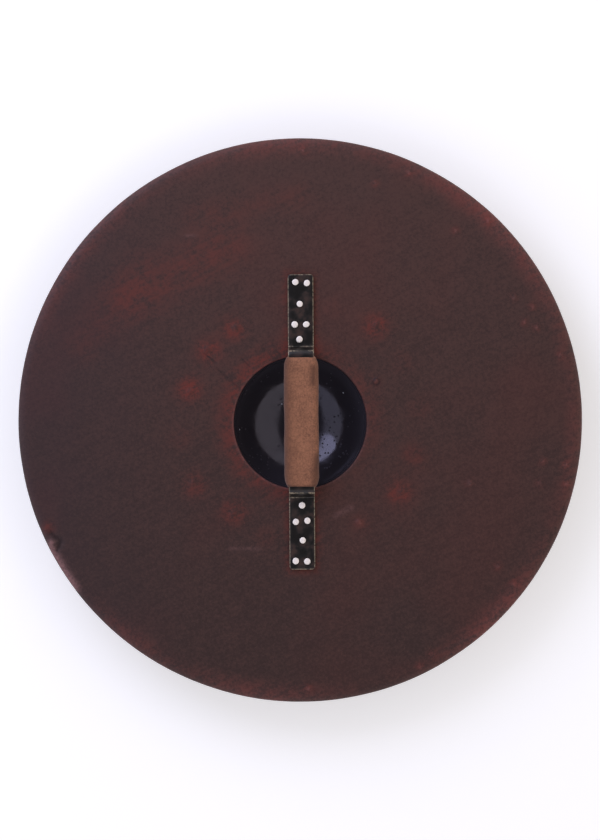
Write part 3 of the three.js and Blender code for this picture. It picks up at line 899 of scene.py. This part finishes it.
def model_grip(sizes):
    """The leather grip: a rounded section run along the strap, drawn in at the ends round the bar."""
    start_fresh()
    middle = (GRIP_LOW.z + GRIP_HIGH.z) / 2
    stations = grip_steps(sizes)
    first, wide, high = stations[0]
    bpy.ops.mesh.primitive_plane_add(size=1, location=(0, first, middle), rotation=(math.pi / 2, 0, 0))
    piece = bpy.context.object
    piece.name = "leather_grip"
    piece.scale = (sizes.grip_width, sizes.grip_height, 1)
    bpy.ops.object.transform_apply(location=True, rotation=True, scale=True)
    bpy.ops.object.mode_set(mode="EDIT")
    bpy.ops.mesh.select_all(action="SELECT")
    bpy.ops.mesh.bevel(offset=sizes.grip_round, segments=5, affect="VERTICES")
    bpy.ops.mesh.select_all(action="SELECT")
    bpy.ops.transform.resize(value=(wide, 1, high), center_override=(0, first, middle))
    for place, next_wide, next_high in stations[1:]:
        bpy.ops.mesh.extrude_region_move(TRANSFORM_OT_translate={"value": (0, place - first, 0)})
        bpy.ops.transform.resize(
            value=(next_wide / wide, 1, next_high / high), center_override=(0, place, middle))
        first, wide, high = place, next_wide, next_high
    tidy_mesh()

    edge = sizes.grip_length / 2 - 0.1 * MM
    select_points(piece, np.abs(points_of(piece)[:, 1]) > edge, "FACE")
    bpy.ops.mesh.inset(thickness=2.4 * MM, use_boundary=True)
    bpy.ops.object.mode_set(mode="OBJECT")
    points = points_of(piece)
    inner = (np.abs(points[:, 1]) > edge) & (np.abs(points[:, 0]) < sizes.grip_width * 0.39 - 2 * MM)
    select_points(piece, inner)
    bpy.ops.transform.resize(value=(1, 0.95, 1), center_override=(0, 0, middle))
    bpy.ops.object.mode_set(mode="OBJECT")

    modify(piece, "SUBSURF", levels=2, render_levels=2)
    points = points_of(piece)
    seam = (np.abs(points[:, 0]) < 0.8 * MM) & (points[:, 2] < middle - 5 * MM)
    push(piece, seam, (0, 0, 1.0 * MM), 2.5 * MM, "SHARP")
    roughen(piece, 16 * MM, 1.0 * MM)
    roughen(piece, 3 * MM, 0.3 * MM)
    paint_grip(piece, sizes)
    bpy.ops.object.shade_smooth()
    set_on_handle(piece, sizes)
    return piece


# A hammered head's section as shares of its radius and height, from its edge to its flat top
HEAD_SHAPE = ((1.0, 0.0), (1.0, 0.35), (0.95, 0.62), (0.85, 0.80), (0.68, 0.92), (0.40, 0.98))


def fastener_profile(low, high, head, dome, shank, far_head):
    """A fastener's section from its lower end up: a domed head, its shank and what closes it on top."""
    lower = [(head * wide, low + dome * (1 - tall)) for wide, tall in reversed(HEAD_SHAPE)]
    rings = [*lower, (shank, low + dome)]
    if far_head:
        upper = [(head * wide, high - dome * (1 - tall)) for wide, tall in HEAD_SHAPE]
        return [*rings, (shank, high - dome), *upper, (0, high)]
    return [*rings, (shank, high), (0, high)]


def model_fasteners(names, title, head, dome, shank, far_head):
    """Models one fastener for each length and copies it, each turned and struck a little apart."""
    made, models = [], {}
    for number, name in enumerate(names):
        low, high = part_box(name)
        tall = round((high.z - low.z) / MM, 1)
        if tall not in models:
            profile = fastener_profile(0, high.z - low.z, head, dome, shank, far_head)
            piece = loft_rings(title, profile, 24, (0, 0))
            bpy.ops.object.mode_set(mode="OBJECT")
            points = points_of(piece)
            select_points(piece, points[:, 2] < points[:, 2].min() + 0.001 * MM)
            bpy.ops.mesh.edge_face_add()
            tidy_mesh()
            bpy.ops.object.shade_smooth_by_angle(angle=math.radians(40))
            models[tall] = piece
        start_fresh()
        bpy.context.view_layer.objects.active = models[tall]
        models[tall].select_set(True)
        bpy.ops.object.duplicate(linked=False)
        copy = bpy.context.object
        copy.name = name.replace("strap_rivet", title).replace("boss_nail", title)
        copy.location = ((low.x + high.x) / 2, (low.y + high.y) / 2, low.z)
        copy.rotation_euler = (0, 0, 2.4 * number)
        copy.scale = (1 + 0.05 * math.sin(3 * number), 1 + 0.05 * math.cos(5 * number), 1)
        bpy.ops.object.transform_apply(location=True, rotation=True, scale=True)
        roughen(copy, 1.4 * MM, 0.18 * MM)
        made.append((copy, name))
    for model in models.values():
        bpy.data.objects.remove(model)
    return made


# Operators

class SHIELD_OT_stage(bpy.types.Operator):
    """Set the floor, the surrounding light and the camera"""

    bl_idname = "shield.stage"
    bl_label = "Stage"

    def execute(self, context):
        stage = context.scene.shield_stage
        start_fresh()
        bpy.ops.mesh.primitive_plane_add(size=80, location=(0, 0, 0))
        floor = bpy.context.object
        floor.name = "floor"
        floor.data.materials.append(pale_floor(context.scene.shield_colours, stage.floor_glow))
        light_world(context.scene, stage)
        add_lamp(context.scene, stage)

        lens = bpy.data.cameras.new("camera")
        lens.lens = stage.lens
        camera = bpy.data.objects.new("camera", lens)
        context.scene.collection.objects.link(camera)
        rim = (DISC_LOW.z + DISC_HIGH.z) / 2
        camera.location = (stage.camera_x, stage.camera_y, rim + stage.camera_distance)
        context.scene.camera = camera
        context.scene.view_settings.view_transform = "Standard"
        return {"FINISHED"}


DARK_ABOVE = Vector((0.02, 0.09, 1)).normalized()
LAMP_PLACE = Vector((-1.02, 1.19, 1.12))
LAMP_TINT = "d8dcff"
LEFT_TINT = "ececff"
RIGHT_TINT = "faf2f4"


def light_world(scene, stage):
    """Soft light from all round, dim overhead, with a cool left side."""
    world = bpy.data.worlds.new("studio")
    world.use_nodes = True
    scene.world = world
    tree = world.node_tree
    way = add(tree, "TexCoord", output="Generated")
    above = add(tree, "VectorMath", (way, DARK_ABOVE), "Value", operation="DOT_PRODUCT")
    low = add(tree, "MapRange", (above, math.cos(math.radians(32)), math.cos(math.radians(39))), **SMOOTH)
    level = add(tree, "MapRange", (low, 0.0, 1.0, stage.zenith_light, stage.ring_light))
    side = add(tree, "MapRange", (add(tree, "SeparateXYZ", (way,), "X"), -0.6, 0.6), **SMOOTH)
    tints = {0: side, MIX_A: to_linear(LEFT_TINT), MIX_B: to_linear(RIGHT_TINT)}
    tint = add(tree, "Mix", tints, MIX_RESULT, data_type="RGBA")
    shares = {0: 1.0, MIX_A: tint, MIX_B: level}
    glow = add(tree, "Mix", shares, MIX_RESULT, data_type="RGBA", blend_type="MULTIPLY")
    fill(tree, tree.nodes["Background"], {"Color": glow})


def add_lamp(scene, stage):
    """A broad soft lamp above and to the left, aimed at the shield."""
    light = bpy.data.lights.new("soft_lamp", "AREA")
    light.energy = stage.lamp_power
    light.shape = "DISK"
    light.size = stage.lamp_size
    light.color = to_linear(LAMP_TINT)[:3]
    lamp = bpy.data.objects.new("soft_lamp", light)
    lamp.location = LAMP_PLACE
    lamp.rotation_euler = (-LAMP_PLACE).to_track_quat("-Z", "Y").to_euler()
    scene.collection.objects.link(lamp)


class SHIELD_OT_disc(bpy.types.Operator):
    """Model the hide-covered disc with its rim, opening and the bumps under the hide"""

    bl_idname = "shield.disc"
    bl_label = "Disc"

    def execute(self, context):
        piece = model_disc(context.scene.shield_sizes)
        finish(piece, waxed_hide(context.scene.shield_colours), "hide", "shield_disc")
        return {"FINISHED"}


class SHIELD_OT_boss(bpy.types.Operator):
    """Model the dished boss behind the opening"""

    bl_idname = "shield.boss"
    bl_label = "Boss"

    def execute(self, context):
        piece = model_boss(context.scene.shield_sizes)
        finish(piece, gloss_enamel(context.scene.shield_colours), "boss_enamel", "boss")
        return {"FINISHED"}


class SHIELD_OT_nails(bpy.types.Operator):
    """Model the nails that hold the boss's flange"""

    bl_idname = "shield.nails"
    bl_label = "Boss Nails"

    def execute(self, context):
        sizes = context.scene.shield_sizes
        material = painted_iron(context.scene.shield_colours)
        for piece, node in model_fasteners(
                NAILS, "domed_nail", sizes.nail_radius, sizes.nail_height, sizes.shank_radius, False):
            finish(piece, material, "nail_paint", node)
        return {"FINISHED"}


class SHIELD_OT_strap(bpy.types.Operator):
    """Model the flat bar that carries the grip"""

    bl_idname = "shield.strap"
    bl_label = "Handle Strap"

    def execute(self, context):
        sizes = context.scene.shield_sizes
        piece = model_strap(sizes)
        finish(piece, worn_paint(context.scene.shield_colours, sizes), "strap_paint", "handle_strap")
        return {"FINISHED"}


class SHIELD_OT_rivets(bpy.types.Operator):
    """Model the rivets through the strap and the disc"""

    bl_idname = "shield.rivets"
    bl_label = "Strap Rivets"

    def execute(self, context):
        sizes = context.scene.shield_sizes
        material = hammered_aluminium(context.scene.shield_colours)
        for piece, node in model_fasteners(
                RIVETS, "hammered_rivet", sizes.rivet_radius, sizes.rivet_height, sizes.shank_radius, True):
            finish(piece, material, "rivet_metal", node)
        return {"FINISHED"}


class SHIELD_OT_grip(bpy.types.Operator):
    """Model the leather folded round the raised part of the strap"""

    bl_idname = "shield.grip"
    bl_label = "Leather Grip"

    def execute(self, context):
        sizes = context.scene.shield_sizes
        piece = model_grip(sizes)
        finish(piece, rough_leather(context.scene.shield_colours, sizes), "grip_leather", "grip_wrap")
        return {"FINISHED"}


MAKERS = ("stage", "disc", "boss", "nails", "strap", "rivets", "grip")


class SHIELD_PT_panel(bpy.types.Panel):
    """Buttons and sizes of the shield"""

    bl_idname = "SHIELD_PT_panel"
    bl_label = "Shield"
    bl_space_type = "VIEW_3D"
    bl_region_type = "UI"
    bl_category = "Shield"

    def draw(self, context):
        column = self.layout.column(align=True)
        for maker in MAKERS:
            column.operator(f"shield.{maker}")
        for group in (context.scene.shield_sizes, context.scene.shield_colours, context.scene.shield_stage):
            box = self.layout.box()
            for name in group.__annotations__:
                box.prop(group, name)


GROUPS = (ShieldSizes, ShieldColours, ShieldStage)
CLASSES = (
    *GROUPS, SHIELD_OT_stage, SHIELD_OT_disc, SHIELD_OT_boss, SHIELD_OT_nails, SHIELD_OT_strap,
    SHIELD_OT_rivets, SHIELD_OT_grip, SHIELD_PT_panel,
)


def register():
    for made in CLASSES:
        bpy.utils.register_class(made)
    bpy.types.Scene.shield_sizes = PointerProperty(type=ShieldSizes)
    bpy.types.Scene.shield_colours = PointerProperty(type=ShieldColours)
    bpy.types.Scene.shield_stage = PointerProperty(type=ShieldStage)


def unregister():
    del bpy.types.Scene.shield_sizes
    del bpy.types.Scene.shield_colours
    del bpy.types.Scene.shield_stage
    for made in reversed(CLASSES):
        bpy.utils.unregister_class(made)


def main():
    register()
    for maker in MAKERS:
        getattr(bpy.ops.shield, maker)()


if __name__ == "__main__":
    main()
